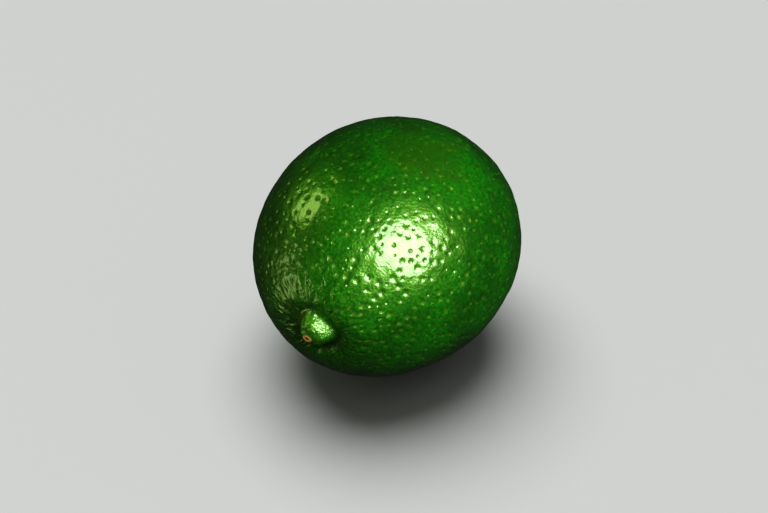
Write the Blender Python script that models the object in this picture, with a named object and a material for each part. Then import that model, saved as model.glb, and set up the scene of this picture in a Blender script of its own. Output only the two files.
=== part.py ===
"""A whole lime lying on its side: the fruit and the dry calyx button at its stem end.

Frame: metres, +Z up, origin on the ground under the middle of the fruit. The fruit's long axis
runs along X, with the blossom end (the nipple) at -X and the stem end at +X.
"""

import math

import bmesh
import bpy
from mathutils import Matrix, Vector

MM = 0.001

# Driving dimensions of the fruit
HALF_LENGTH = 31.4 * MM            # centre to the end of the plain oval body
HALF_WIDTH = 27.5 * MM             # the fruit lies on its flatter side, so it is wider than tall
HALF_HEIGHT = 26.0 * MM
BLOSSOM_TAPER = 0.045              # how much slimmer the blossom half is than the stem half
FLAT_DEPTH = 0.55 * MM             # what the small resting flat takes off the bottom
BODY_SHIFT = 0.76 * MM             # the nipple stands out more than the calyx, so the body moves to +X

# Nipple at the blossom end, with the furrow round it and the low collar outside the furrow
NIPPLE_SIDE = Vector((0.0, -3.1 * MM, 0.7 * MM))
NIPPLE_RADIUS = 3.4 * MM
NIPPLE_HEIGHT = 2.4 * MM
FURROW_RADIUS = 4.5 * MM
FURROW_WIDTH = 1.7 * MM
FURROW_DEPTH = 0.6 * MM
COLLAR_RADIUS = 9.0 * MM
COLLAR_WIDTH = 3.6 * MM
COLLAR_HEIGHT = 0.5 * MM
SCAR_RADIUS = 0.75 * MM
SCAR_DEPTH = 0.25 * MM

# Dimple at the stem end, and the creases that run into it
DIMPLE_RADIUS = 4.6 * MM
DIMPLE_DEPTH = 1.3 * MM
CREASE_COUNT = 7
CREASE_DEPTH = 0.16 * MM
CREASE_RADIUS = 7.0 * MM

# Calyx button: five lobes round a broken stalk end
CALYX_RADIUS = 3.5 * MM
CALYX_LOBES = 5
CALYX_LOBE_DEPTH = 0.16            # share of the radius that the notches between lobes take
CALYX_THICKNESS = 0.9 * MM
STALK_RADIUS = 1.35 * MM
STALK_HEIGHT = 0.9 * MM
TOUCH_GAP = 0.3 * MM

# Mesh fineness
FRUIT_SEGMENTS = 56
FRUIT_RINGS = 52
POLE_CROWDING = 0.40               # draws the rings toward the two ends, where the detail is
CALYX_SEGMENTS = 40
CALYX_RINGS = 12


def ring_bump(distance, radius, width):
    """Height, 0 to 1, of a soft round ridge at a radius from the axis."""
    return math.exp(-(((distance - radius) / width) ** 2))


def nipple_relief(distance):
    """How far the surface stands out of the oval body at a distance from the nipple's axis."""
    mound = NIPPLE_HEIGHT * math.exp(-((distance / NIPPLE_RADIUS) ** 4))
    furrow = FURROW_DEPTH * ring_bump(distance, FURROW_RADIUS, FURROW_WIDTH)
    collar = COLLAR_HEIGHT * ring_bump(distance, COLLAR_RADIUS, COLLAR_WIDTH)
    scar = SCAR_DEPTH * math.exp(-((distance / SCAR_RADIUS) ** 4))
    return mound - furrow + collar - scar


def dimple_relief(distance, angle):
    """How far the surface is drawn in at a distance from the stem's axis."""
    dimple = DIMPLE_DEPTH * math.exp(-((distance / DIMPLE_RADIUS) ** 2))
    crease = CREASE_DEPTH * (1.0 - math.cos(CREASE_COUNT * angle))
    return -dimple - crease * ring_bump(distance, CREASE_RADIUS, DIMPLE_RADIUS)


def fruit_point(unit):
    """Place on the fruit's skin, from its centre, of a point of the unit sphere."""
    polar = math.acos(max(-1.0, min(1.0, -unit.x)))
    polar -= POLE_CROWDING * math.sin(2.0 * polar)
    around = math.atan2(unit.z, unit.y)
    slimness = 1.0 - BLOSSOM_TAPER * math.cos(polar)
    point = Vector((
        -HALF_LENGTH * math.cos(polar),
        HALF_WIDTH * slimness * math.sin(polar) * math.cos(around),
        HALF_HEIGHT * slimness * math.sin(polar) * math.sin(around),
    ))
    from_axis = Vector((0.0, point.y, point.z)).length
    if point.x > 0.0:
        point.x += dimple_relief(from_axis, around)
        return point
    blossom_share = max(0.0, math.cos(polar)) ** 6
    point.x -= nipple_relief(from_axis)
    return point + NIPPLE_SIDE * blossom_share


def new_collection(name):
    """Make a collection in the scene."""
    collection = bpy.data.collections.new(name)
    bpy.context.scene.collection.children.link(collection)
    return collection


def new_object(name, mesh_builder, collection):
    """Turn a bmesh into a named object of a collection."""
    mesh = bpy.data.meshes.new(name)
    mesh_builder.to_mesh(mesh)
    mesh_builder.free()
    item = bpy.data.objects.new(name, mesh)
    collection.objects.link(item)
    return item


def paint(item, name, colour, roughness):
    """Give an object its own plain material."""
    material = bpy.data.materials.new(name)
    material.use_nodes = True
    shader = material.node_tree.nodes["Principled BSDF"]
    shader.inputs["Base Color"].default_value = (*colour, 1.0)
    shader.inputs["Roughness"].default_value = roughness
    shader.inputs["Metallic"].default_value = 0.0
    item.data.materials.append(material)


def build_fruit(parts, cutters):
    """The whole fruit, cut flat underneath where it rests."""
    shape = bmesh.new()
    bmesh.ops.create_uvsphere(shape, u_segments=FRUIT_SEGMENTS, v_segments=FRUIT_RINGS, radius=1.0)
    bmesh.ops.rotate(shape, verts=shape.verts, matrix=Matrix.Rotation(math.pi / 2.0, 3, "Y"))
    for vertex in shape.verts:
        vertex.co = fruit_point(vertex.co)
    fruit = new_object("fruit", shape, parts)
    fruit.location = (BODY_SHIFT, 0.0, HALF_HEIGHT - FLAT_DEPTH)
    fruit.data.shade_smooth()

    ground = bmesh.new()
    bmesh.ops.create_cube(ground, size=4.0 * HALF_LENGTH)
    cutter = new_object("ground_cutter", ground, cutters)
    cutter.location.z = -2.0 * HALF_LENGTH
    cutter.hide_render = True
    cutter.display_type = "WIRE"

    flat = fruit.modifiers.new("resting_flat", "BOOLEAN")
    flat.operation = "DIFFERENCE"
    flat.object = cutter
    paint(fruit, "lime_peel", (0.020, 0.160, 0.014), 0.35)
    return fruit


def calyx_point(unit, seat):
    """Place on the calyx button of a point of the unit sphere; seat is where its underside lies."""
    around = math.atan2(unit.z, unit.y)
    share = math.hypot(unit.y, unit.z)
    notch = 0.5 * (1.0 - math.cos(CALYX_LOBES * around))
    radius = CALYX_RADIUS * share * (1.0 - CALYX_LOBE_DEPTH * notch * share)
    underside = seat + DIMPLE_DEPTH * (1.0 - math.exp(-((radius / DIMPLE_RADIUS) ** 2)))
    thickness = CALYX_THICKNESS * (1.0 - share ** 4)
    stalk = STALK_HEIGHT * math.exp(-((radius / STALK_RADIUS) ** 6))
    lift = max(0.0, unit.x) ** 0.5 * (thickness + stalk)
    return Vector((underside + lift, radius * math.cos(around), radius * math.sin(around)))


def build_calyx(parts, fruit):
    """The dry calyx with its broken stalk end, a touching gap above the floor of the dimple."""
    seat = HALF_LENGTH - DIMPLE_DEPTH + TOUCH_GAP
    shape = bmesh.new()
    bmesh.ops.create_uvsphere(shape, u_segments=CALYX_SEGMENTS, v_segments=CALYX_RINGS, radius=1.0)
    bmesh.ops.rotate(shape, verts=shape.verts, matrix=Matrix.Rotation(math.pi / 2.0, 3, "Y"))
    for vertex in shape.verts:
        vertex.co = calyx_point(vertex.co, seat)
    calyx = new_object("calyx_button", shape, parts)
    calyx.location = fruit.location
    calyx.data.shade_smooth()
    paint(calyx, "dry_calyx", (0.190, 0.120, 0.045), 0.80)
    return calyx


def build_lime():
    """Build both pieces in collections of their own."""
    for item in list(bpy.data.objects):
        bpy.data.objects.remove(item, do_unlink=True)
    parts = new_collection("lime")
    cutters = new_collection("cutters")
    fruit = build_fruit(parts, cutters)
    build_calyx(parts, fruit)


build_lime()
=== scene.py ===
"""Looks of a whole lime lying on its side: its pitted, waxy peel and its dry calyx button.

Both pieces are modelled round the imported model, in metres, +Z up. The fruit's long axis runs
along X, with the blossom end (the nipple) at -X and the stem end (the calyx) at +X.
"""
import logging
import math
from dataclasses import dataclass, field
from enum import Enum

import bpy
import numpy as np
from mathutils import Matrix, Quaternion, Vector, kdtree, noise


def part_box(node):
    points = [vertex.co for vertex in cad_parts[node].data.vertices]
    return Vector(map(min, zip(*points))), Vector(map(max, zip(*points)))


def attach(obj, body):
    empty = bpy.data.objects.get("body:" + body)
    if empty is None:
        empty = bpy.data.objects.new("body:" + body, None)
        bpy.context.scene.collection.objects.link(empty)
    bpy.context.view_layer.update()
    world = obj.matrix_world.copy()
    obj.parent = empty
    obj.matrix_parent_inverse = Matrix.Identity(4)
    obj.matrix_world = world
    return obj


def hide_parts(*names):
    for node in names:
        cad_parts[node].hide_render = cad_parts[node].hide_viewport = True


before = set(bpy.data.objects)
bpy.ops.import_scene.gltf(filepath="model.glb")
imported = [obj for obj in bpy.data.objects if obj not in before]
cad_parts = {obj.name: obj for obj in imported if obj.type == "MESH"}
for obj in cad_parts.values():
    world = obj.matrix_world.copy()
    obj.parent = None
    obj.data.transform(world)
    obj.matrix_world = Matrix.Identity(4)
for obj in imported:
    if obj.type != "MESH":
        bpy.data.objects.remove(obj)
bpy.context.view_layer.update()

MM = 0.001
BODY = "root"
LOG = logging.getLogger("lime")

Socket = bpy.types.NodeSocket
Feed = Socket | float | tuple


# ---------------------------------------------------------------------------------------------
# Small tools
# ---------------------------------------------------------------------------------------------


def smooth_rise(values: np.ndarray, low: float, high: float) -> np.ndarray:
    """Rise smoothly from 0 at one value to 1 at another.

    Args:
        values: numbers to map.
        low: value where the result starts to leave 0.
        high: value where the result reaches 1.

    Returns:
        The share, 0 to 1, for each value.
    """
    share = np.clip((values - low) / (high - low), 0.0, 1.0)
    return share * share * (3.0 - 2.0 * share)


def ring_bump(distance: np.ndarray, radius: float, width: float) -> np.ndarray:
    """Height of a soft round ridge.

    Args:
        distance: distances from the ridge's axis.
        radius: the ridge's own radius.
        width: half width of the ridge.

    Returns:
        The height, 0 to 1, at each distance.
    """
    return np.exp(-(((distance - radius) / width) ** 2))


@dataclass(frozen=True)
class Swell:
    """One scale of smooth random unevenness: its size, its length and a pattern of its own."""

    size: float
    wavelength: float
    seed: float

    def over(self, points: np.ndarray) -> np.ndarray:
        """Work out the unevenness over space.

        Args:
            points: places, one row each.

        Returns:
            One number per place, about -size to size.
        """
        shifted = points / self.wavelength + self.seed
        return self.size * np.array([noise.noise(Vector(row)) for row in shifted.tolist()])


def read_vertices(piece: bpy.types.Object, what: str) -> np.ndarray:
    """Read one vector per vertex of a piece.

    Args:
        piece: the object whose mesh is read.
        what: "co" for the places or "normal" for the normals.

    Returns:
        One row per vertex.
    """
    flat = np.empty(len(piece.data.vertices) * 3)
    piece.data.vertices.foreach_get(what, flat)
    return flat.reshape(-1, 3)


def move_points(piece: bpy.types.Object, points: np.ndarray) -> None:
    """Put a piece's vertices at new places.

    Args:
        piece: the object whose mesh is moved.
        points: the new places, one row per vertex.
    """
    piece.data.vertices.foreach_set("co", points.astype(np.float32).ravel())
    piece.data.update()


def store_masks(piece: bpy.types.Object, masks: dict[str, np.ndarray]) -> None:
    """Keep numbers on a piece's vertices, for its finish to read.

    Args:
        piece: the object that gets the attributes.
        masks: each attribute's name and its number for every vertex.
    """
    for name, values in masks.items():
        layer = piece.data.attributes.new(name, "FLOAT", "POINT")
        layer.data.foreach_set("value", values.astype(np.float32))


def store_vectors(piece: bpy.types.Object, name: str, rows: np.ndarray, domain: str = "POINT") -> None:
    """Keep one vector per vertex or face corner on a piece, for its finish to read.

    Args:
        piece: the object that gets the attribute.
        name: the attribute's name.
        rows: one vector per element.
        domain: which elements of the mesh hold it.
    """
    layer = piece.data.attributes.new(name, "FLOAT_VECTOR", domain)
    layer.data.foreach_set("vector", rows.astype(np.float32).ravel())


def wear(piece: bpy.types.Object, material: bpy.types.Material) -> None:
    """Shade a piece smooth and give it its one material.

    Args:
        piece: the modelled piece.
        material: its finish.
    """
    piece.data.shade_smooth()
    piece.data.materials.clear()
    piece.data.materials.append(material)


# ---------------------------------------------------------------------------------------------
# Node graphs
# ---------------------------------------------------------------------------------------------


class NodeSketch:
    """A material's node tree, with short calls for the nodes that the finishes share."""

    def __init__(self, name: str) -> None:
        """Start a material that holds only a shader and an output.

        Args:
            name: the material's name.
        """
        self.material = bpy.data.materials.new(name)
        self.material.use_nodes = True
        self.tree = self.material.node_tree
        self.shader = self.tree.nodes["Principled BSDF"]
        self.place = self.tree.nodes.new("ShaderNodeTexCoord").outputs["Object"]

    def link(self, start: Socket, end: Socket) -> None:
        """Join an output socket to an input socket."""
        self.tree.links.new(start, end)

    def feed(self, socket: Socket, value: Feed) -> None:
        """Give an input socket its value.

        Args:
            socket: the input.
            value: an output to link, a number or a colour.
        """
        if isinstance(value, tuple):
            socket.default_value = (*value, 1.0)
        elif isinstance(value, (int, float)):
            socket.default_value = value
        else:
            self.link(value, socket)

    def set_shader(self, settings: dict[str, Feed]) -> None:
        """Give the shader's inputs their values, by name."""
        for name, value in settings.items():
            self.feed(self.shader.inputs[name], value)

    def mask(self, name: str) -> Socket:
        """Read a number that is kept on the mesh."""
        return self._attribute(name).outputs["Fac"]

    def vector(self, name: str) -> Socket:
        """Read a vector that is kept on the mesh."""
        return self._attribute(name).outputs["Vector"]

    def _attribute(self, name: str) -> bpy.types.Node:
        """Add a node that reads an attribute of the mesh.

        Args:
            name: the attribute's name.

        Returns:
            The node.
        """
        node = self.tree.nodes.new("ShaderNodeAttribute")
        node.attribute_name = name
        return node

    def length(self, vector: Socket) -> Socket:
        """Measure a vector.

        Args:
            vector: the socket that gives it.

        Returns:
            The length's socket.
        """
        node = self.tree.nodes.new("ShaderNodeVectorMath")
        node.operation = "LENGTH"
        self.link(vector, node.inputs[0])
        return node.outputs["Value"]

    def maths(self, operation: str, *values: Feed, clamp: bool = False) -> Socket:
        """Add a Math node.

        Args:
            operation: the node's operation.
            values: its inputs in order, sockets or numbers.
            clamp: keep the result between 0 and 1.

        Returns:
            The node's output socket.
        """
        node = self.tree.nodes.new("ShaderNodeMath")
        node.operation = operation
        node.use_clamp = clamp
        for socket, value in zip(node.inputs, values):
            self.feed(socket, value)
        return node.outputs["Value"]

    def ramp(self, value: Socket, low: float, high: float, start: float = 0.0, end: float = 1.0) -> Socket:
        """Map a range of a value smoothly onto another range.

        Args:
            value: the socket to map.
            low: value that maps to start.
            high: value that maps to end.
            start: result at and below low.
            end: result at and above high.

        Returns:
            The mapped output socket.
        """
        node = self.tree.nodes.new("ShaderNodeMapRange")
        node.interpolation_type = "SMOOTHSTEP"
        inputs = {"Value": value, "From Min": low, "From Max": high, "To Min": start, "To Max": end}
        for name, given in inputs.items():
            self.feed(node.inputs[name], given)
        return node.outputs["Result"]

    def cloud(self, wavelength: float, detail: float, roughness: float = 0.5, warp: float = 0.0,
              over: Socket | None = None) -> Socket:
        """Add a noise pattern on the object's own coordinates, or on others that are given.

        Args:
            wavelength: size of the pattern's largest features, in the coordinates' units.
            detail: octaves of finer pattern.
            roughness: strength of the finer octaves.
            warp: distortion of the pattern.
            over: socket with other coordinates, if any.

        Returns:
            The noise value's socket.
        """
        node = self.tree.nodes.new("ShaderNodeTexNoise")
        inputs = {"Scale": 1.0 / wavelength, "Detail": detail, "Roughness": roughness, "Distortion": warp,
                  "Vector": self.place if over is None else over}
        for name, given in inputs.items():
            self.feed(node.inputs[name], given)
        return node.outputs["Fac"]

    def cells(self, size: float, feature: str = "F1") -> Socket:
        """Add a cell pattern on the object's own coordinates.

        Args:
            size: distance between neighbouring cells, in metres.
            feature: which distance the pattern gives.

        Returns:
            The distance socket.
        """
        node = self.tree.nodes.new("ShaderNodeTexVoronoi")
        node.feature = feature
        node.inputs["Scale"].default_value = 1.0 / size
        self.link(self.place, node.inputs["Vector"])
        return node.outputs["Distance"]

    def blend(self, share: Feed, first: Feed, second: Feed) -> Socket:
        """Mix two colours.

        Args:
            share: how much of the second colour.
            first: first colour.
            second: second colour.

        Returns:
            The mixed colour's socket.
        """
        node = self.tree.nodes.new("ShaderNodeMix")
        node.data_type = "RGBA"
        factor, one, two = node.inputs[0], node.inputs[6], node.inputs[7]
        for socket, value in ((factor, share), (one, first), (two, second)):
            self.feed(socket, value)
        return node.outputs[2]

    def bump(self, height: Socket, reach: float, below: Socket | None = None) -> Socket:
        """Tilt the surface's shading by a height.

        Args:
            height: socket that gives the height, 0 to 1.
            reach: real height of a full step, in metres.
            below: a bump that this one adds to, if any.

        Returns:
            The normal's socket.
        """
        node = self.tree.nodes.new("ShaderNodeBump")
        node.inputs["Distance"].default_value = reach
        self.link(height, node.inputs["Height"])
        if below is not None:
            self.link(below, node.inputs["Normal"])
        return node.outputs["Normal"]


@dataclass(frozen=True)
class PeelFinish:
    """Waxy dark green citrus peel with oil glands, a nipple whose brighter green is painted on its lit side
    only, painted shade in the furrow round it, and a dry style scar.
    """

    deep_green: tuple = (0.0015, 0.0440, 0.0010)
    fresh_green: tuple = (0.0030, 0.1080, 0.0012)
    gland_green: tuple = (0.0300, 0.0740, 0.0016)
    gland_dark: tuple = (0.0012, 0.0260, 0.0008)
    # The nipple's green is partly its own brighter green and partly painted light: it is laid on the nipple's
    # lit side only.
    nipple_green_and_painted_light: tuple = (0.0220, 0.1400, 0.0030)
    # The furrow's green is painted shade, partly the furrow's own darker green: it darkens the recess round
    # the nipple, most on the side away from the light.
    furrow_green_and_painted_shade: tuple = (0.0012, 0.0130, 0.0008)
    olive: tuple = (0.0130, 0.0520, 0.0014)
    stain_brown: tuple = (0.0800, 0.0280, 0.0040)
    scar_orange: tuple = (0.5200, 0.1900, 0.0500)
    scar_dark: tuple = (0.0300, 0.0090, 0.0030)
    skin_tint: tuple = (0.54, 1.0, 0.12)
    skin_ior: float = 1.62
    skin_roughness: tuple = (0.32, 0.45)
    wax_weight: float = 0.86
    wax_ior: float = 1.55
    wax_roughness: float = 0.17
    scar_dullness: float = 0.4
    nipple_dullness: float = 0.06
    pit_dullness: float = 0.25
    flesh_weight: float = 0.12
    flesh_scale: float = 0.8 * MM
    pit_step: float = 0.090 * MM
    wrinkle_step: float = 0.030 * MM
    knob_step_wax: float = 0.52 * MM
    knob_step_skin: float = 0.34 * MM
    cell_step_wax: float = 0.009 * MM
    cell_step_skin: float = 0.032 * MM
    grain_step: float = 0.008 * MM

    def make(self) -> bpy.types.Material:
        """Build the peel's material.

        Returns:
            The material, which reads the masks and pit offsets that LimeFruit keeps on its mesh.
        """
        sketch = NodeSketch("lime_peel_waxy")
        pit = self._pit(sketch)
        self._colour(sketch, pit)
        self._dullness(sketch, pit)
        self._relief(sketch, pit)
        sketch.set_shader({
            "Specular IOR Level": 1.0,
            "Specular Tint": self.skin_tint,
            "IOR": self.skin_ior,
            "Coat Weight": self.wax_weight,
            "Coat IOR": self.wax_ior,
            "Coat Roughness": self.wax_roughness,
            "Subsurface Weight": self.flesh_weight,
            "Subsurface Scale": self.flesh_scale,
        })
        sketch.shader.inputs["Subsurface Radius"].default_value = (0.4, 1.0, 0.2)
        return sketch.material

    def _pit(self, sketch: NodeSketch) -> Socket:
        """Work out how deep in an oil pit each place lies.

        Args:
            sketch: the material's node tree.

        Returns:
            The depth's socket: 0 at a pit's edge and outside it, 1 at its bottom.
        """
        reach = sketch.length(sketch.vector("pit_offset"))
        share = sketch.maths("DIVIDE", reach, sketch.mask("pit_radius"))
        return sketch.maths("SUBTRACT", 1.0, share, clamp=True)

    def _colour(self, sketch: NodeSketch, pit: Socket) -> None:
        """Lay broad and fine greens, darker glands, the blush, stains and the scar, the nipple's brighter
        green painted on its lit side only, and painted shade in the furrow.

        Args:
            sketch: the material's node tree.
            pit: the oil pits' depth.
        """
        broad = sketch.ramp(sketch.cloud(14 * MM, 3.0, 0.55, 0.4), 0.36, 0.66)
        fine = sketch.ramp(sketch.cloud(0.8 * MM, 3.0, 0.65), 0.40, 0.66, 0.0, 0.65)
        gland = sketch.ramp(sketch.cells(1.05 * MM), 0.12, 0.42, 0.45, 0.0)
        gap = sketch.ramp(sketch.cells(0.62 * MM), 0.30, 0.72, 0.0, 0.60)
        speckle = sketch.ramp(sketch.cloud(1.1 * MM, 3.0, 0.65), 0.35, 0.65, 0.25, 0.95)
        mottle = sketch.ramp(sketch.cloud(0.9 * MM, 3.0, 0.6), 0.36, 0.62, 0.35, 1.0)
        freckle = sketch.ramp(sketch.cloud(0.5 * MM, 2.0), 0.40, 0.62)
        layers = (
            (fine, self.fresh_green),
            (gland, self.gland_dark),
            (gap, self.gland_dark),
            (sketch.maths("MULTIPLY", sketch.mask("olive"), speckle), self.olive),
            (sketch.ramp(pit, 0.0, 0.5, 0.0, 0.38), self.gland_green),
            # Painted light: the nipple's brighter green, laid only on its lit flank.
            (sketch.maths("MULTIPLY", sketch.mask("nipple"), mottle), self.nipple_green_and_painted_light),
            # Painted shade in the furrow round the nipple.
            (sketch.mask("furrow"), self.furrow_green_and_painted_shade),
            (sketch.maths("MULTIPLY", sketch.mask("stain"), freckle), self.stain_brown),
            (sketch.mask("scar"), self.scar_orange),
            (sketch.mask("scar_pit"), self.scar_dark),
        )
        colour = sketch.blend(broad, self.deep_green, self.fresh_green)
        for share, tint in layers:
            colour = sketch.blend(share, colour, tint)
        sketch.link(colour, sketch.shader.inputs["Base Color"])

    def _dullness(self, sketch: NodeSketch, pit: Socket) -> None:
        """Vary the skin's roughness finely, and dull the scar, the nipple and the pits.

        Args:
            sketch: the material's node tree.
            pit: the oil pits' depth.
        """
        dull = sketch.ramp(sketch.cloud(0.4 * MM, 2.0), 0.3, 0.7, *self.skin_roughness)
        dull = sketch.maths("MULTIPLY_ADD", sketch.mask("scar"), self.scar_dullness, dull)
        dull = sketch.maths("MULTIPLY_ADD", sketch.mask("mound"), self.nipple_dullness, dull)
        dull = sketch.maths("MULTIPLY_ADD", pit, self.pit_dullness, dull)
        sketch.link(dull, sketch.shader.inputs["Roughness"])

    def _relief(self, sketch: NodeSketch, pit: Socket) -> None:
        """Sharpen the pits, the wrinkles and the nipple's knobs, and add cells and the wax's grain.

        Args:
            sketch: the material's node tree.
            pit: the oil pits' depth.
        """
        cell = sketch.ramp(sketch.cells(0.50 * MM, "SMOOTH_F1"), 0.1, 0.75)
        hollow = sketch.maths("MULTIPLY", pit, -1.0)
        fold = sketch.cloud(0.80, 2.0, 0.5, 0.8, over=sketch.vector("nipple_turn"))
        crest = sketch.maths("ABSOLUTE", sketch.maths("MULTIPLY_ADD", fold, 2.0, -1.0))
        crest = sketch.maths("MULTIPLY", sketch.ramp(crest, 0.0, 0.22, 1.0, 0.0), sketch.mask("wrinkled"))
        knob = sketch.maths("MULTIPLY", sketch.cloud(1.0 * MM, 2.0), sketch.mask("mound"))
        tilt = sketch.bump(hollow, self.pit_step)
        tilt = sketch.bump(crest, self.wrinkle_step, tilt)
        wax = sketch.bump(knob, self.knob_step_wax, tilt)
        wax = sketch.bump(cell, self.cell_step_wax, wax)
        sketch.link(wax, sketch.shader.inputs["Coat Normal"])
        skin = sketch.bump(knob, self.knob_step_skin, tilt)
        skin = sketch.bump(cell, self.cell_step_skin, skin)
        skin = sketch.bump(sketch.cloud(0.16 * MM, 2.0), self.grain_step, skin)
        sketch.link(skin, sketch.shader.inputs["Normal"])


@dataclass(frozen=True)
class CalyxFinish:
    """Dry, woody calyx: olive-brown lobes with pale dusty edges and a tan broken stalk end."""

    lobe_olive: tuple = (0.190, 0.200, 0.055)
    lobe_brown: tuple = (0.095, 0.062, 0.024)
    edge_tan: tuple = (0.420, 0.330, 0.170)
    bark_brown: tuple = (0.030, 0.018, 0.009)
    stalk_tan: tuple = (0.360, 0.260, 0.130)
    pith_pale: tuple = (0.560, 0.480, 0.300)
    pith_share: float = 0.8
    roughness: float = 0.78
    fibre_step: float = 0.35 * MM
    crumb_step: float = 0.12 * MM
    grain_step: float = 0.02 * MM

    def make(self) -> bpy.types.Material:
        """Build the calyx's material.

        Returns:
            The material, which reads the masks and fibres that CalyxButton keeps on its mesh.
        """
        sketch = NodeSketch("calyx_dry")
        fibre = sketch.cloud(0.10, 3.0, 0.65, over=sketch.vector("fibres"))
        mottle = sketch.ramp(sketch.cloud(1.3 * MM, 4.0, 0.65, 0.5), 0.38, 0.64)
        dust = sketch.ramp(sketch.cloud(0.5 * MM, 2.0), 0.35, 0.65, 0.15, 0.95)
        grain = sketch.ramp(sketch.cloud(0.22 * MM, 3.0, 0.7), 0.45, 0.70, 0.0, 0.65)
        layers = (
            (sketch.ramp(fibre, 0.52, 0.68, 0.0, 0.7), self.edge_tan),
            (sketch.ramp(fibre, 0.46, 0.34, 0.0, 0.8), self.bark_brown),
            (sketch.maths("MULTIPLY", sketch.mask("rim"), dust), self.edge_tan),
            (sketch.mask("stalk"), self.stalk_tan),
            (sketch.mask("bark"), self.bark_brown),
            (grain, self.lobe_brown),
            (sketch.maths("MULTIPLY", sketch.mask("pith"), self.pith_share), self.pith_pale),
        )
        colour = sketch.blend(mottle, self.lobe_brown, self.lobe_olive)
        for share, tint in layers:
            colour = sketch.blend(share, colour, tint)
        tilt = sketch.bump(fibre, self.fibre_step)
        tilt = sketch.bump(sketch.cloud(0.45 * MM, 4.0, 0.7), self.crumb_step, tilt)
        tilt = sketch.bump(sketch.cloud(0.12 * MM, 2.0), self.grain_step, tilt)
        sketch.set_shader({"Base Color": colour, "Roughness": self.roughness, "Normal": tilt})
        return sketch.material


# ---------------------------------------------------------------------------------------------
# The fruit
# ---------------------------------------------------------------------------------------------


class FruitEnd(Enum):
    """The two ends of the fruit's long axis, by their direction along X."""

    BLOSSOM = -1
    STEM = 1


@dataclass
class FruitForm:
    """The fruit's whole shape: an oval body with a nipple at one end and a dimple at the other."""

    half_length: float = 31.4 * MM
    half_width: float = 27.5 * MM
    half_height: float = 26.0 * MM
    blossom_taper: float = 0.045
    centre: tuple = (0.76 * MM, 0.0, 25.45 * MM)
    nipple_side: tuple = (-3.1 * MM, 0.7 * MM)
    nipple_reach: int = 6
    nipple_radius: float = 3.3 * MM
    nipple_height: float = 2.4 * MM
    nipple_steepness: float = 7.0
    nipple_corners: tuple = ((2.0, 0.08, -1.1), (3.0, 0.07, 2.6))
    furrow_radius: float = 4.5 * MM
    furrow_width: float = 1.7 * MM
    furrow_depth: float = 0.52 * MM
    furrow_unevenness: float = 0.55
    furrow_shallow_side: float = 0.6
    collar_radius: float = 9.0 * MM
    collar_width: float = 3.6 * MM
    collar_height: float = 0.5 * MM
    dimple_radius: float = 4.6 * MM
    dimple_depth: float = 1.3 * MM
    out_of_reach: float = 1.0

    def nipple_relief(self, distance: np.ndarray, around: np.ndarray) -> np.ndarray:
        """How far the skin stands out round the nipple's axis.

        Args:
            distance: distances from the nipple's axis.
            around: angles about that axis.

        Returns:
            The heights out of the plain oval body.
        """
        uneven = 1.0
        for count, size, turn in self.nipple_corners:
            uneven = uneven + size * np.cos(around * count + turn)
        edge = self.nipple_radius * uneven
        mound = self.nipple_height * np.exp(-((distance / edge) ** self.nipple_steepness))
        depth = self.furrow_depth * (1.0 - self.furrow_unevenness * np.cos(around - self.furrow_shallow_side))
        furrow = depth * ring_bump(distance, self.furrow_radius, self.furrow_width)
        collar = self.collar_height * ring_bump(distance, self.collar_radius, self.collar_width)
        return mound - furrow + collar

    def dimple_relief(self, distance: np.ndarray) -> np.ndarray:
        """How far the skin is drawn in round the stem's axis."""
        return -self.dimple_depth * np.exp(-((distance / self.dimple_radius) ** 2))

    def place(self, unit: np.ndarray, crowding: float) -> np.ndarray:
        """Put points of a unit sphere on the fruit.

        Args:
            unit: points of the unit sphere, one row each.
            crowding: how strongly the points are drawn toward the nipple.

        Returns:
            The places on the smooth skin, in the shared frame.
        """
        polar = np.arccos(np.clip(-unit[:, 0], -1.0, 1.0))
        polar = polar - crowding * np.sin(polar) * (1.0 + np.cos(polar)) / 2.0
        around = np.arctan2(unit[:, 2], unit[:, 1])
        slimness = 1.0 - self.blossom_taper * np.cos(polar)
        along = -self.half_length * np.cos(polar)
        side = self.half_width * slimness * np.sin(polar) * np.cos(around)
        up = self.half_height * slimness * np.sin(polar) * np.sin(around)
        distance = np.hypot(side, up)
        blossom = self.nipple_relief(distance, around)
        along = along + np.where(along > 0.0, self.dimple_relief(distance), -blossom)
        skew = np.clip(np.cos(polar), 0.0, None) ** self.nipple_reach
        side = side + self.nipple_side[0] * skew
        up = up + self.nipple_side[1] * skew
        return np.column_stack((along, side, up)) + np.array(self.centre)

    def from_nipple(self, points: np.ndarray) -> tuple[np.ndarray, np.ndarray]:
        """How far points lie from the nipple's axis, sideways and upward.

        Args:
            points: places on the fruit.

        Returns:
            The offsets along Y and along Z.
        """
        side = points[:, 1] - self.centre[1] - self.nipple_side[0]
        up = points[:, 2] - self.centre[2] - self.nipple_side[1]
        return side, up

    def axis_distance(self, points: np.ndarray, end: FruitEnd) -> tuple[np.ndarray, np.ndarray]:
        """Distance and angle of points about the axis of one end.

        Args:
            points: places on the fruit.
            end: which end's axis.

        Returns:
            The distances, made large on the other half of the fruit, and the angles.
        """
        if end is FruitEnd.BLOSSOM:
            side, up = self.from_nipple(points)
        else:
            side, up = points[:, 1] - self.centre[1], points[:, 2] - self.centre[2]
        far = (points[:, 0] - self.centre[0]) * end.value < 0.0
        distance = np.hypot(side, up) + np.where(far, self.out_of_reach, 0.0)
        return distance, np.arctan2(up, side)


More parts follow.
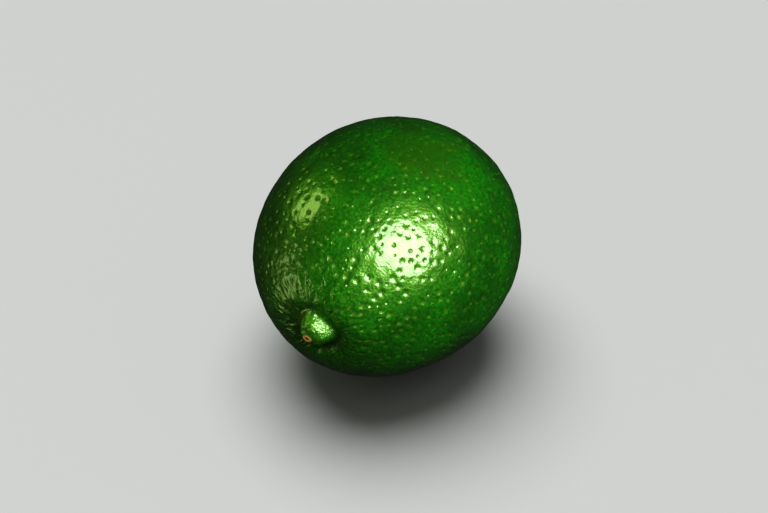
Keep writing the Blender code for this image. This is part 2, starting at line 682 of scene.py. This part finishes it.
@dataclass
class OilPits:
    """The large oil pits of the peel: their places, sizes and how far each is drawn out.

    The pits are spread over a ball, scattered, pushed apart where two are closer than elbow_room
    of the spacing, and then laid on the fruit's form.
    """

    form: FruitForm
    spacing: float = 2.70 * MM
    seed: int = 7
    ball_radius: float = 28.4 * MM
    skin_radius: float = 28.0 * MM
    packing: float = 0.866
    scatter: float = 0.55
    elbow_room: float = 0.66
    push_rounds: int = 6
    push_horizon: float = 1.0
    smallest: float = 0.32 * MM
    largest: float = 0.74 * MM
    bare_radius: float = 5.6 * MM
    no_pit: float = 0.01 * MM
    nothing: float = 1e-9
    centres: np.ndarray = field(init=False)
    radii: np.ndarray = field(init=False)
    stretches: np.ndarray = field(init=False)
    grains: np.ndarray = field(init=False)

    def __post_init__(self) -> None:
        """Scatter the pits evenly but irregularly over the fruit."""
        random = np.random.default_rng(self.seed)
        count = int(4.0 * math.pi * self.ball_radius ** 2 / (self.packing * self.spacing ** 2))
        step = np.arange(count) + 0.5
        polar = np.arccos(1.0 - 2.0 * step / count)
        turn = step * math.pi * (3.0 - math.sqrt(5.0))
        unit = np.column_stack((np.cos(polar), np.sin(polar) * np.cos(turn), np.sin(polar) * np.sin(turn)))
        unit += random.normal(0.0, self.scatter * self.spacing / self.skin_radius, unit.shape)
        unit /= np.linalg.norm(unit, axis=1)[:, None]
        unit = self._relax(unit)
        self.centres = self.form.place(unit, 0.0)
        blossom, _ = self.form.axis_distance(self.centres, FruitEnd.BLOSSOM)
        stem, _ = self.form.axis_distance(self.centres, FruitEnd.STEM)
        away = smooth_rise(blossom, 5.5 * MM, 9.0 * MM) * smooth_rise(stem, 3.5 * MM, 5.5 * MM)
        self.radii = random.uniform(self.smallest / MM, self.largest / MM, count) * MM * (0.35 + 0.65 * away)
        self.radii[blossom < self.bare_radius] = self.no_pit
        self.stretches = 1.0 + 0.7 * (1.0 - smooth_rise(blossom, 8.0 * MM, 15.0 * MM))
        self.grains = self._grain_directions()

    def _relax(self, unit: np.ndarray) -> np.ndarray:
        """Push the scattered points apart a little, so that no two pits merge.

        Args:
            unit: the points on a unit sphere.

        Returns:
            The points after the pushes.
        """
        reach = self.elbow_room * self.spacing / self.skin_radius
        for _ in range(self.push_rounds):
            gap = unit[:, None, :] - unit[None, :, :]
            length = np.linalg.norm(gap, axis=2) + self.nothing
            push = np.clip(reach - length, 0.0, None) * (length < self.push_horizon)
            np.fill_diagonal(push, 0.0)
            unit = unit + 0.5 * np.einsum("ij,ijk->ik", push / length, gap)
            unit /= np.linalg.norm(unit, axis=1)[:, None]
        return unit

    def _grain_directions(self) -> np.ndarray:
        """Find the direction, from each pit, along the skin toward the nipple.

        Returns:
            One vector of length 1 per pit.
        """
        tip = np.array(self.form.centre) + np.array((-self.form.half_length, *self.form.nipple_side))
        grain = tip - self.centres
        outward = self.centres - np.array(self.form.centre)
        outward /= np.linalg.norm(outward, axis=1)[:, None]
        grain -= outward * np.einsum("ij,ij->i", grain, outward)[:, None]
        return grain / (np.linalg.norm(grain, axis=1)[:, None] + self.nothing)

    def offsets(self, points: np.ndarray, index: np.ndarray) -> np.ndarray:
        """Offsets of points from given pits, shortened along the way a pit is drawn out.

        Args:
            points: places on the skin.
            index: the pit of each place.

        Returns:
            One vector per place, whose length is the place's distance in the round pit's terms.
        """
        gap = points - self.centres[index]
        grain = self.grains[index]
        stretch = self.stretches[index]
        along = np.einsum("ij,ij->i", gap, grain)
        squeezed = gap * np.sqrt(stretch)[:, None]
        return squeezed + grain * (along * (1.0 / stretch - np.sqrt(stretch)))[:, None]

    def nearest(self, points: np.ndarray) -> np.ndarray:
        """Find the pit nearest to each place.

        Args:
            points: places on the skin.

        Returns:
            The index of each place's pit.
        """
        tree = kdtree.KDTree(len(self.centres))
        for index, centre in enumerate(self.centres.tolist()):
            tree.insert(centre, index)
        tree.balance()
        return np.array([tree.find(row)[1] for row in points.tolist()])


@dataclass(frozen=True)
class SkinPlaces:
    """The smooth skin's places, with their distances and angles about the fruit's two ends."""

    base: np.ndarray
    blossom: np.ndarray
    around: np.ndarray
    stem: np.ndarray
    stem_around: np.ndarray


@dataclass
class LimeFruit:
    """The whole fruit's skin: form, lumps, wrinkles, oil pits and the style scar."""

    form: FruitForm = field(default_factory=FruitForm)
    finish: PeelFinish = field(default_factory=PeelFinish)
    rows: int = 126
    crowding: float = 0.42
    lumps: Swell = Swell(0.16 * MM, 9.0 * MM, 3.1)
    swells: Swell = Swell(0.080 * MM, 3.2 * MM, 11.7)
    streaks: Swell = Swell(0.070 * MM, 1.9 * MM, 27.4)
    ripples: Swell = Swell(0.026 * MM, 1.0 * MM, 35.2)
    streak_stretch: tuple = (0.42, 1.0, 1.0)
    knobs: Swell = Swell(0.17 * MM, 1.25 * MM, 91.0)
    knob_stretch: tuple = (0.5, 1.0, 1.0)
    pit_depth: float = 0.10 * MM
    pit_reach: float = 1.7
    full_pit_radius: float = 0.50 * MM
    wrinkle_count: int = 38
    wrinkle_height: float = 0.15 * MM
    wrinkle_length: float = 4.5 * MM
    wrinkle_weave: Swell = Swell(0.16, 5.0 * MM, 41.0)
    wrinkle_ridges: Swell = Swell(1.0, 1.0, 5.3)
    fine_wrinkle_length: float = 3.0 * MM
    wrinkle_bias: float = 0.30
    wrinkle_far_side: float = 0.75
    crease_count: float = 7.0
    fine_crease_count: float = 13.0
    fine_crease_share: float = 0.45
    crease_height: float = 0.36 * MM
    crease_radius: float = 6.4 * MM
    crease_width: float = 3.4 * MM
    crease_weave: Swell = Swell(0.25, 7.0 * MM, 63.0)
    scar_half_sizes: tuple = (1.00 * MM, 0.72 * MM)
    scar_lean: tuple = (0.48 * MM, -0.71 * MM)
    scar_edge: Swell = Swell(0.28, 0.8 * MM, 77.0)
    scar_rim_height: float = 0.20 * MM
    scar_depth: float = 0.35 * MM
    beyond_scar: float = 9.0
    # The way toward the nipple's lit side: the nipple's green is painted there, and the furrow's painted
    # shade is deepest away from it.
    sunny_way: tuple = (0.12, 0.99)
    nipple_edge: Swell = Swell(0.5 * MM, 2.0 * MM, 8.0)
    blush_place: tuple = (4.3 * MM, -7.7 * MM, 25.0 * MM)
    blush_edge: Swell = Swell(5.0 * MM, 6.0 * MM, 52.0)

    def build(self) -> bpy.types.Object:
        """Model the fruit and dress it.

        Returns:
            The finished piece.
        """
        piece = self._ball()
        move_points(piece, self.form.place(read_vertices(piece, "co"), self.crowding))
        base = read_vertices(piece, "co")
        normals = read_vertices(piece, "normal")
        pits = OilPits(self.form)
        skin = SkinPlaces(base, *self.form.axis_distance(base, FruitEnd.BLOSSOM),
                          *self.form.axis_distance(base, FruitEnd.STEM))
        scar, scar_pit, scar_height = self._scar(base)
        height = self._lumps(skin)
        height += self._wrinkles(skin)
        height += self._creases(skin)
        height -= self._pits(base, pits)
        height += scar_height
        points = base + normals * height[:, None]
        points[:, 2] = np.maximum(points[:, 2], 0.0)
        move_points(piece, points)
        self._store_tints(piece, skin)
        store_masks(piece, {"scar": scar, "scar_pit": scar_pit})
        self._store_pit_offsets(piece, base, pits)
        wear(piece, self.finish.make())
        return piece

    def _ball(self) -> bpy.types.Object:
        """Make a unit ball of six even grids, so that no pole is pinched.

        The cube is cut in two goes, because one cut gives at most 101 rows.

        Returns:
            The ball.
        """
        bpy.ops.object.select_all(action="DESELECT")
        bpy.ops.mesh.primitive_cube_add(size=2.0)
        piece = bpy.context.active_object
        piece.name = "lime_skin"
        bpy.ops.object.mode_set(mode="EDIT")
        bpy.ops.mesh.select_all(action="SELECT")
        bpy.ops.mesh.subdivide(number_cuts=self.rows // 2 - 1)
        bpy.ops.mesh.subdivide(number_cuts=1)
        bpy.ops.object.mode_set(mode="OBJECT")
        even = np.tan(read_vertices(piece, "co") * math.pi / 4.0)
        move_points(piece, even / np.linalg.norm(even, axis=1)[:, None])
        return piece

    def _lumps(self, skin: SkinPlaces) -> np.ndarray:
        """Broad unevenness, gentle swells and fine ripples of the skin.

        Args:
            skin: the smooth skin's places.

        Returns:
            The heights.
        """
        smooth = 0.9 + 0.1 * smooth_rise(skin.blossom, 4.0 * MM, 7.0 * MM)
        drawn_out = skin.base * np.array(self.streak_stretch)
        uneven = self.swells.over(skin.base) + self.streaks.over(drawn_out) + self.ripples.over(drawn_out)
        return self.lumps.over(skin.base) + uneven * smooth

    def _wrinkles(self, skin: SkinPlaces) -> np.ndarray:
        """Fine ridges that run along the fruit into the furrow, and the nipple's own knobs.

        Args:
            skin: the smooth skin's places.

        Returns:
            The heights.
        """
        ridge = 1.0 - 2.0 * np.abs(self.wrinkle_ridges.over(self._wrinkle_coords(skin, self.wrinkle_length)))
        mound = 1.0 - smooth_rise(skin.blossom, 3.2 * MM, 4.6 * MM)
        knobs = self.knobs.over(skin.base * np.array(self.knob_stretch))
        return self.wrinkle_height * self._wrinkle_reach(skin) * (ridge - 0.6) + mound * knobs

    def _wrinkle_coords(self, skin: SkinPlaces, length: float) -> np.ndarray:
        """Lay coordinates round the nipple in which wrinkles are about one unit wide and long.

        Args:
            skin: the smooth skin's places.
            length: length along the fruit of one unit.

        Returns:
            One row per place.
        """
        turn = skin.around + self.wrinkle_weave.over(skin.base)
        ring = self.wrinkle_count / (2.0 * math.pi)
        return np.column_stack((np.cos(turn) * ring, np.sin(turn) * ring, skin.blossom / length))

    def _wrinkle_reach(self, skin: SkinPlaces) -> np.ndarray:
        """Find how strongly the skin is wrinkled round the nipple: furthest up one side.

        Args:
            skin: the smooth skin's places.

        Returns:
            The share, 0 to 1, for each place.
        """
        scaled = skin.blossom / (1.0 + self.wrinkle_bias * np.cos(skin.around - self.wrinkle_far_side))
        outside_furrow = smooth_rise(skin.blossom, 4.2 * MM, 6.5 * MM)
        return outside_furrow * (1.0 - smooth_rise(scaled, 8.5 * MM, 15.5 * MM))

    def _creases(self, skin: SkinPlaces) -> np.ndarray:
        """Short folds that run into the dimple under the calyx.

        Args:
            skin: the smooth skin's places.

        Returns:
            The heights.
        """
        near = ring_bump(skin.stem, self.crease_radius, self.crease_width)
        turn = skin.stem_around + self.crease_weave.over(skin.base)
        fine = self.fine_crease_share * np.cos(self.fine_crease_count * turn + 1.0)
        fold = 0.5 * (np.cos(self.crease_count * turn) + fine)
        return self.crease_height * near * (fold - 0.4)

    def _pits(self, base: np.ndarray, pits: OilPits) -> np.ndarray:
        """Work out the depth of the oil pits.

        Args:
            base: places on the smooth skin.
            pits: the oil pits.

        Returns:
            The depths.
        """
        index = pits.nearest(base)
        reach = np.linalg.norm(pits.offsets(base, index), axis=1)
        size = pits.radii[index] * self.pit_reach
        depth = self.pit_depth * np.clip(pits.radii[index] / self.full_pit_radius, 0.0, 1.3)
        return depth * (1.0 - smooth_rise(reach / size, 0.0, 1.0))

    def _scar(self, base: np.ndarray) -> tuple[np.ndarray, np.ndarray, np.ndarray]:
        """The small dry crater that the flower's style left on the nipple's tip.

        Args:
            base: places on the smooth skin.

        Returns:
            Masks of the scar and of its dark middle, and the scar's height.
        """
        side, up = self.form.from_nipple(base)
        side, up = side - self.scar_lean[0], up - self.scar_lean[1]
        front = base[:, 0] < self.form.centre[0]
        ragged = 1.0 + self.scar_edge.over(base)
        share = np.hypot(side / self.scar_half_sizes[0], up / self.scar_half_sizes[1]) * ragged
        share = np.where(front, share, self.beyond_scar)
        mask = 1.0 - smooth_rise(share, 0.85, 1.25)
        hole = 1.0 - smooth_rise(share, 0.25, 0.60)
        rim = self.scar_rim_height * ring_bump(share, 0.80, 0.30)
        return mask, hole, rim - self.scar_depth * (1.0 - smooth_rise(share, 0.2, 0.75))

    def _store_tints(self, piece: bpy.types.Object, skin: SkinPlaces) -> None:
        """Keep on the mesh where each tint of the peel, the wrinkles and the nipple's mound lie; the nipple's
        tint is painted light on its lit side and the furrow's tint is painted shade, deepest away from the
        light.

        Args:
            piece: the fruit.
            skin: the smooth skin's places.
        """
        blossom, around = skin.blossom, skin.around
        sunny = self.sunny_way[0] * np.cos(around) + self.sunny_way[1] * np.sin(around)
        # Painted light: the nipple's brighter green fades out on its shaded lower flank.
        nipple = 1.0 - smooth_rise(blossom + self.nipple_edge.over(skin.base), 2.9 * MM, 4.2 * MM)
        nipple *= 0.06 + 0.94 * smooth_rise(blossom * sunny, -1.1 * MM, 0.5 * MM)
        # Painted shade: the furrow is darkened most on the side away from the light.
        furrow = ring_bump(blossom, 4.7 * MM, 1.3 * MM) * (0.08 + 0.80 * smooth_rise(-sunny, -0.2, 0.8))
        stain = ring_bump(blossom, 3.9 * MM, 0.9 * MM) * smooth_rise(np.cos(around + 0.35), 0.25, 0.95)
        patch = np.array(self.form.centre) + np.array(self.blush_place)
        reach = np.linalg.norm(skin.base - patch, axis=1) + self.blush_edge.over(skin.base)
        store_vectors(piece, "nipple_turn", self._wrinkle_coords(skin, self.fine_wrinkle_length))
        store_masks(piece, {
            "wrinkled": self._wrinkle_reach(skin),
            "nipple": nipple,
            "mound": 1.0 - smooth_rise(blossom, 3.6 * MM, 4.8 * MM),
            "furrow": furrow,
            "stain": stain,
            "olive": 1.0 - smooth_rise(reach, 3.0 * MM, 11.0 * MM),
        })

    def _store_pit_offsets(self, piece: bpy.types.Object, base: np.ndarray, pits: OilPits) -> None:
        """Keep each face corner's offset from its face's pit, so that the finish knows it exactly.

        Args:
            piece: the fruit, a mesh of four-sided faces.
            base: places on the smooth skin.
            pits: the oil pits.
        """
        mesh = piece.data
        corner_vertex = np.empty(len(mesh.loops), dtype=np.int32)
        mesh.loops.foreach_get("vertex_index", corner_vertex)
        corners = base[corner_vertex]
        index = pits.nearest(corners.reshape(-1, 4, 3).mean(axis=1))
        store_vectors(piece, "pit_offset", pits.offsets(corners, np.repeat(index, 4)), "CORNER")
        radius = mesh.attributes.new("pit_radius", "FLOAT", "FACE")
        radius.data.foreach_set("value", pits.radii[index].astype(np.float32))


# ---------------------------------------------------------------------------------------------
# The calyx
# ---------------------------------------------------------------------------------------------


@dataclass
class CalyxButton:
    """The dry five-lobed calyx in the stem dimple, with the broken end of the stalk."""

    form: FruitForm = field(default_factory=FruitForm)
    finish: CalyxFinish = field(default_factory=CalyxFinish)
    segments: int = 210
    rings: int = 110
    radius: float = 3.6 * MM
    lobes: int = 5
    lobe_skew: float = 0.10
    notch: float = 0.36
    star_spread: float = 0.8
    lobe_thickness: float = 0.36 * MM
    lobe_lift: float = 0.40 * MM
    edge_roundness: float = 0.45
    edge_waves: Swell = Swell(0.16, 0.30, 4.0)
    edge_tears: Swell = Swell(0.07, 0.09, 6.0)
    disc_radius: float = 2.1 * MM
    disc_height: float = 0.50 * MM
    stalk_radius: float = 1.25 * MM
    stalk_height: float = 0.85 * MM
    stalk_break: Swell = Swell(0.30 * MM, 0.55 * MM, 19.0)
    stalk_hollow: float = 0.22 * MM
    rib_count: float = 15.0
    rib_height: float = 0.10 * MM
    rib_weave: Swell = Swell(3.0, 1.5 * MM, 33.0)
    grit: Swell = Swell(0.10 * MM, 0.45 * MM, 58.0)
    fibre_length: float = 9.0 * MM
    gap: float = 0.12 * MM

    def build(self) -> bpy.types.Object:
        """Model the calyx and dress it.

        Returns:
            The finished piece.
        """
        bpy.ops.object.select_all(action="DESELECT")
        bpy.ops.mesh.primitive_uv_sphere_add(segments=self.segments, ring_count=self.rings, radius=1.0,
                                             rotation=(0.0, math.pi / 2.0, 0.0))
        piece = bpy.context.active_object
        piece.name = "calyx"
        bpy.ops.object.transform_apply(location=True, rotation=True, scale=True)
        unit = read_vertices(piece, "co")
        around = np.arctan2(unit[:, 2], unit[:, 1])
        share = np.hypot(unit[:, 1], unit[:, 2])
        skewed = around + self.lobe_skew * np.sin(2.0 * around + 1.0)
        tip = 0.5 * (1.0 + np.cos(self.lobes * skewed))
        radius = self.radius * share * self._outline(around, tip, share)
        flat = np.column_stack((np.zeros(len(unit)), np.cos(around) * radius, np.sin(around) * radius))
        floor = self.form.centre[0] + self.form.half_length + self.gap
        seat = floor + self.form.dimple_relief(radius)
        lift = self.lobe_lift * smooth_rise(share, 0.70, 1.0) * tip
        top = np.clip(unit[:, 0], 0.0, None) ** self.edge_roundness
        points = flat + np.array((0.0, self.form.centre[1], self.form.centre[2]))
        points[:, 0] = seat + lift + top * self._thickness(flat, around, radius, tip)
        move_points(piece, points)
        self._store_parts(piece, around, share, radius)
        wear(piece, self.finish.make())
        return piece

    def _outline(self, around: np.ndarray, tip: np.ndarray, share: np.ndarray) -> np.ndarray:
        """Find how far the edge reaches in each direction: five ragged lobes of unlike lengths.

        Args:
            around: angles about the stem's axis.
            tip: 1 at the middle of a lobe, 0 in a notch.
            share: distances from the axis, 1 at the edge.

        Returns:
            The factor on the round button's radius.
        """
        uneven = 1.0 + 0.09 * np.cos(around * 2.0 + 0.5) + 0.07 * np.cos(around + 2.0)
        ring = np.column_stack((np.cos(around), np.sin(around), np.zeros(len(around))))
        ragged = self.edge_waves.over(ring) + self.edge_tears.over(ring)
        star = 1.0 - self.notch * (1.0 - tip ** 0.8)
        return 1.0 + (uneven * star * (1.0 + ragged) - 1.0) * share ** self.star_spread

    def _thickness(self, flat: np.ndarray, around: np.ndarray, radius: np.ndarray,
                   tip: np.ndarray) -> np.ndarray:
        """Height of the upper face over the seat: lobes, the disc and the broken stalk.

        Args:
            flat: places on the seat, about the stem's axis.
            around: angles about that axis.
            radius: distances from it.
            tip: 1 at the middle of a lobe, 0 in a notch.

        Returns:
            The heights.
        """
        bark = radius / (self.stalk_radius * (1.0 + 0.06 * np.cos(3.0 * around)))
        lobes = self.lobe_thickness * (0.75 + 0.45 * tip ** 3)
        disc_edge = smooth_rise(radius, 0.75 * self.disc_radius, 1.20 * self.disc_radius)
        disc = self.disc_height * (1.0 - disc_edge)
        stalk = self.stalk_height * (1.0 - smooth_rise(bark, 0.86, 1.12))
        broken = (1.0 - smooth_rise(bark, 0.60, 0.95)) * (self.stalk_break.over(flat) - self.stalk_hollow)
        ribs = self.rib_height * np.cos(self.rib_count * around + self.rib_weave.over(flat))
        ribs *= ring_bump(radius, 2.2 * MM, 0.9 * MM)
        return lobes + disc + stalk + broken + ribs + self.grit.over(flat)

    def _store_parts(self, piece: bpy.types.Object, around: np.ndarray, share: np.ndarray,
                     radius: np.ndarray) -> None:
        """Keep on the mesh where the rim, the stalk and its pith lie, and how the fibres run.

        Args:
            piece: the calyx.
            around: angles about the stem's axis.
            share: distances from the axis, 1 at the edge.
            radius: the same distances in metres.
        """
        reach = radius / self.stalk_radius
        store_masks(piece, {
            "rim": smooth_rise(share, 0.80, 0.99),
            "bark": ring_bump(reach, 1.02, 0.20),
            "stalk": 1.0 - smooth_rise(reach, 0.70, 0.95),
            "pith": 1.0 - smooth_rise(reach, 0.16, 0.38),
        })
        fibres = np.column_stack((np.cos(around), np.sin(around), radius / self.fibre_length))
        store_vectors(piece, "fibres", fibres)


# ---------------------------------------------------------------------------------------------
# The studio
# ---------------------------------------------------------------------------------------------


@dataclass(frozen=True)
class SoftBox:
    """One soft light: where it hangs from the fruit, its size, strength and tint.

    The direction is in the camera's terms, right, up and backward, or in the shared frame's.
    """

    name: str
    direction: tuple
    distance: float
    width: float
    height: float
    power: float
    tint: tuple = (1.0, 1.0, 1.0)
    glossy: bool = True
    roll: float = 0.0
    by_camera: bool = True

    def hang(self, target: Vector, axes: tuple[Vector, Vector, Vector], lit: bpy.types.Collection) -> None:
        """Hang the light, aimed at a point.

        Args:
            target: the point that the light faces.
            axes: the camera's right, up and backward directions.
            lit: the only things that it lights and that shade it.
        """
        light = bpy.data.lights.new(self.name, "AREA")
        light.shape = "ELLIPSE"
        light.size = self.width
        light.size_y = self.height
        light.energy = self.power
        light.color = self.tint
        item = bpy.data.objects.new(self.name, light)
        bpy.context.scene.collection.objects.link(item)
        way = Vector(self.direction)
        if self.by_camera:
            way = sum((part * axis for part, axis in zip(self.direction, axes)), Vector())
        way.normalize()
        item.location = target + way * self.distance
        facing = (-way).to_track_quat("-Z", "Y")
        item.rotation_euler = (facing @ Quaternion((0.0, 0.0, 1.0), self.roll)).to_euler()
        item.visible_camera = False
        item.visible_glossy = self.glossy
        item.light_linking.receiver_collection = lit
        item.light_linking.blocker_collection = lit


SOFT_BOXES = (
    SoftBox("key_box", (0.404, 0.201, 0.90), 0.15, 0.126, 0.088, 0.345, (0.93, 0.94, 1.0),
            roll=math.radians(-55.0)),
    SoftBox("high_strip", (-0.65, 0.58, 0.06), 0.60, 0.17, 0.28, 0.50, (0.76, 1.0, 0.28)),
    SoftBox("low_strip", (-0.99, -0.14, 0.04), 0.60, 0.27, 0.40, 0.54, (0.82, 1.0, 0.46)),
    SoftBox("side_fill", (0.60, 0.42, 0.66), 0.25, 0.12, 0.12, 0.43, glossy=False),
    SoftBox("back_fill", (0.88, 0.40, 0.12), 0.90, 0.50, 0.50, 3.0, glossy=False, by_camera=False),
)


@dataclass
class Studio:
    """A pale floor, soft lights and the camera."""

    azimuth: float = -58.0
    elevation: float = 38.0
    distance: float = 0.42
    lens: float = 92.5
    aim_shift: tuple = (0.58 * MM, -1.32 * MM)
    near_clip: float = 0.01
    floor_size: float = 30.0
    floor_gap: float = 0.05 * MM
    floor_colour: tuple = (0.56, 0.57, 0.56)
    floor_roughness: float = 0.65
    sun_power: float = 2.6
    sun_spread: float = 55.0
    sun_lean: tuple = (-14.0, 10.0, 0.0)
    sky_colour: tuple = (0.84, 0.84, 0.82)
    sky_light: float = 0.19
    sky_seen: float = 0.62
    sky_unreflected: float = 0.17
    aim: Vector = field(init=False)

    def __post_init__(self) -> None:
        """Find the fruit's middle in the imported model."""
        low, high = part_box("fruit")
        self.aim = (Vector(low) + Vector(high)) / 2.0

    def camera_axes(self) -> tuple[Vector, Vector, Vector]:
        """Work out the camera's axes.

        Returns:
            Its right, up and backward directions.
        """
        turn, lift = math.radians(self.azimuth), math.radians(self.elevation)
        back = Vector((math.sin(turn) * math.cos(lift), -math.cos(turn) * math.cos(lift), math.sin(lift)))
        right = Vector((math.cos(turn), math.sin(turn), 0.0))
        return right, back.cross(right), back

    def set_camera(self) -> None:
        """Put the camera at its viewing angle, with the fruit a little above the frame's middle."""
        right, up, back = self.camera_axes()
        camera = bpy.data.cameras.new("camera")
        camera.lens = self.lens
        camera.clip_start = self.near_clip
        item = bpy.data.objects.new("camera", camera)
        bpy.context.scene.collection.objects.link(item)
        target = self.aim + up * self.aim_shift[1] + right * self.aim_shift[0]
        item.location = target + back * self.distance
        item.rotation_euler = back.to_track_quat("Z", "Y").to_euler()
        bpy.context.scene.camera = item

    def lay_floor(self) -> bpy.types.Object:
        """Lay a wide pale floor under the fruit.

        Returns:
            The floor.
        """
        bpy.ops.object.select_all(action="DESELECT")
        bpy.ops.mesh.primitive_plane_add(size=self.floor_size, location=(0.0, 0.0, -self.floor_gap))
        floor = bpy.context.active_object
        floor.name = "floor"
        sketch = NodeSketch("floor_pale")
        sketch.set_shader({"Base Color": self.floor_colour, "Roughness": self.floor_roughness})
        floor.data.materials.append(sketch.material)
        floor.visible_glossy = False
        return floor

    def light(self, pieces: list[bpy.types.Object], floor: bpy.types.Object) -> None:
        """Hang the lights for the fruit and the one for the floor, and set the sky.

        Args:
            pieces: the object's own pieces.
            floor: the floor.
        """
        fruit_group = bpy.data.collections.new("lit_fruit")
        for piece in pieces:
            fruit_group.objects.link(piece)
        floor_group = bpy.data.collections.new("lit_floor")
        floor_group.objects.link(floor)
        axes = self.camera_axes()
        for box in SOFT_BOXES:
            box.hang(self.aim, axes, fruit_group)
        self._hang_sun(floor_group)
        self._set_sky()
        bpy.context.scene.view_settings.view_transform = "Standard"
        bpy.context.scene.view_settings.look = "Medium High Contrast"

    def _hang_sun(self, lit: bpy.types.Collection) -> None:
        """Hang a very wide sun, for a soft shadow.

        Args:
            lit: the only things that it lights.
        """
        sun = bpy.data.lights.new("floor_sun", "SUN")
        sun.energy = self.sun_power
        sun.angle = math.radians(self.sun_spread)
        item = bpy.data.objects.new("floor_sun", sun)
        bpy.context.scene.collection.objects.link(item)
        item.rotation_euler = tuple(math.radians(angle) for angle in self.sun_lean)
        item.light_linking.receiver_collection = lit

    def _set_sky(self) -> None:
        """Set an even sky, paler where it is seen and nearly dark where it would be reflected."""
        world = bpy.data.worlds.new("studio_sky")
        world.use_nodes = True
        tree = world.node_tree
        sky = tree.nodes["Background"]
        sky.inputs["Color"].default_value = (*self.sky_colour, 1.0)
        ray = tree.nodes.new("ShaderNodeLightPath")
        seen = tree.nodes.new("ShaderNodeMapRange")
        seen.inputs["To Min"].default_value = self.sky_light
        seen.inputs["To Max"].default_value = self.sky_seen
        dim = tree.nodes.new("ShaderNodeMath")
        dim.operation = "MULTIPLY_ADD"
        dim.inputs[1].default_value = -self.sky_unreflected
        tree.links.new(ray.outputs["Is Camera Ray"], seen.inputs["Value"])
        tree.links.new(ray.outputs["Is Glossy Ray"], dim.inputs[0])
        tree.links.new(seen.outputs["Result"], dim.inputs[2])
        tree.links.new(dim.outputs["Value"], sky.inputs["Strength"])
        bpy.context.scene.world = world


def dress(piece: bpy.types.Object, node: str) -> None:
    """Let a finished piece stand for its CAD node.

    Args:
        piece: the finished piece.
        node: the CAD node that it replaces.
    """
    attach(piece, BODY)
    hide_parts(node)
    LOG.info("%s: %d faces", piece.name, len(piece.data.polygons))


def main() -> None:
    """Build the studio and both pieces."""
    logging.basicConfig(level=logging.INFO, format="%(message)s")
    studio = Studio()
    studio.set_camera()
    fruit = LimeFruit().build()
    dress(fruit, "fruit")
    calyx = CalyxButton().build()
    dress(calyx, "calyx_button")
    studio.light([fruit, calyx], studio.lay_floor())


if __name__ == "__main__":
    main()
